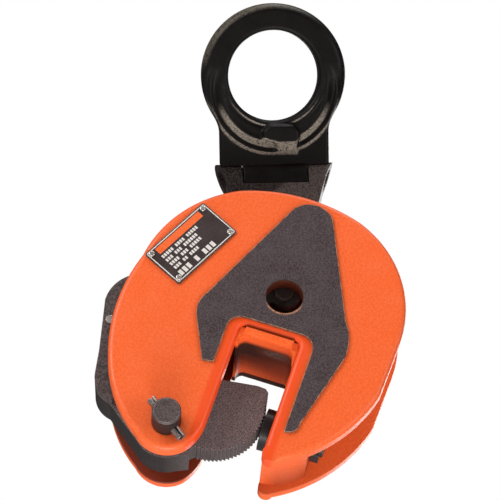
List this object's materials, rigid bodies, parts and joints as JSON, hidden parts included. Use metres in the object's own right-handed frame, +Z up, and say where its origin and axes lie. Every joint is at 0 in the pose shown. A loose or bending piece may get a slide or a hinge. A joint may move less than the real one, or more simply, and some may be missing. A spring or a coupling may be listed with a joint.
{
  "type": "plate lifting clamp",
  "caption": "Vertical plate lifting clamp with a hinged lifting eye, toothed spring-loaded cam, swivelling jaw pad and lock lever.",
  "frame": {"origin": "middle of the flat stop at the top of the plate slot, where the edge of a lifted plate rests", "axes": "+Z up along the slot, away from its mouth; +X from the cam towards the fixed jaw; +Y from the front side plate (name plate) to the back one"},
  "size_m": [0.1238, 0.0748, 0.212],
  "materials": {
    "orange_paint": "glossy enamel",
    "dark_grit_coat": "matte, gritty",
    "name_plate": "satin",
    "bright_rivet": "satin",
    "pin_steel": "blackened, satin",
    "spring_steel": "oiled",
    "cam_steel": "heat-treated, gritty",
    "link_steel": "blackened",
    "black_forging": "black, semi-gloss",
    "lever_steel": "rough, blackened",
    "black_pad_steel": "hardened, satin"
  },
  "bodies": {
    "body": {"front_side_plate": "orange_paint", "back_side_plate": "orange_paint", "plate_stop": "orange_paint", "fixed_jaw_block": "orange_paint", "body_stay": "orange_paint", "front_doubler": "dark_grit_coat", "back_doubler": "dark_grit_coat", "name_plate": "name_plate", "name_plate_rivets": "bright_rivet", "cam_pin": "pin_steel", "cam_pin_spring_pin": "spring_steel", "cam_bush_front": "pin_steel", "cam_bush_back": "pin_steel", "lever_pivot_pin": "pin_steel"},
    "cam": {"toothed_cam": "cam_steel", "cam_spring_anchor": "pin_steel", "cam_spring": "spring_steel"},
    "links": {"front_link": "link_steel", "back_link": "link_steel", "cam_link_pin": "pin_steel", "yoke_link_pin": "pin_steel"},
    "yoke": {"yoke": "black_forging", "eye_hinge_pin": "pin_steel"},
    "eye": {"lifting_eye": "black_forging"},
    "lever": {"lock_lever": "lever_steel", "lever_rivet": "pin_steel"},
    "jaw_pad": {"swivel_jaw_pad": "black_pad_steel", "jaw_pad_nut": "black_pad_steel"}
  },
  "joints": [
    {"name": "cam_hinge", "type": "hinge", "parent": "body", "child": "cam", "pos_m": [-0.028, 0, -0.048], "axis": [0, -1, 0], "range_deg": [0, 50], "stiffness_Nm_per_rad": 0.8, "springref_deg": -57.3, "deforming": ["cam_spring"]},
    {"name": "link_hinge", "type": "hinge", "parent": "cam", "child": "links", "pos_m": [-0.0306, 0, -0.0332], "axis": [0, -1, 0], "range_deg": [-61, 0]},
    {"name": "yoke_swing", "type": "hinge", "parent": "links", "child": "yoke", "pos_m": [-0.0014, 0, 0.0285], "axis": [0, 1, 0], "range_deg": [0, 40]},
    {"name": "eye_hinge", "type": "hinge", "parent": "yoke", "child": "eye", "pos_m": [-0.02293, 0, 0.08547], "axis": [0.9354, 0, 0.3535], "range_deg": [-70, 0]},
    {"name": "lever_hinge", "type": "hinge", "parent": "body", "child": "lever", "pos_m": [-0.05, 0, 0.012], "axis": [0, 1, 0], "range_deg": [0, 28]},
    {"name": "pad_swivel", "type": "hinge", "parent": "body", "child": "jaw_pad", "pos_m": [0.013, 0, -0.0295], "axis": [1, 0, 0], "continuous": true}
  ],
  "couplings": [
    {"joint": "link_hinge", "follows": "cam_hinge", "ratio": -1.2028}
  ]
}
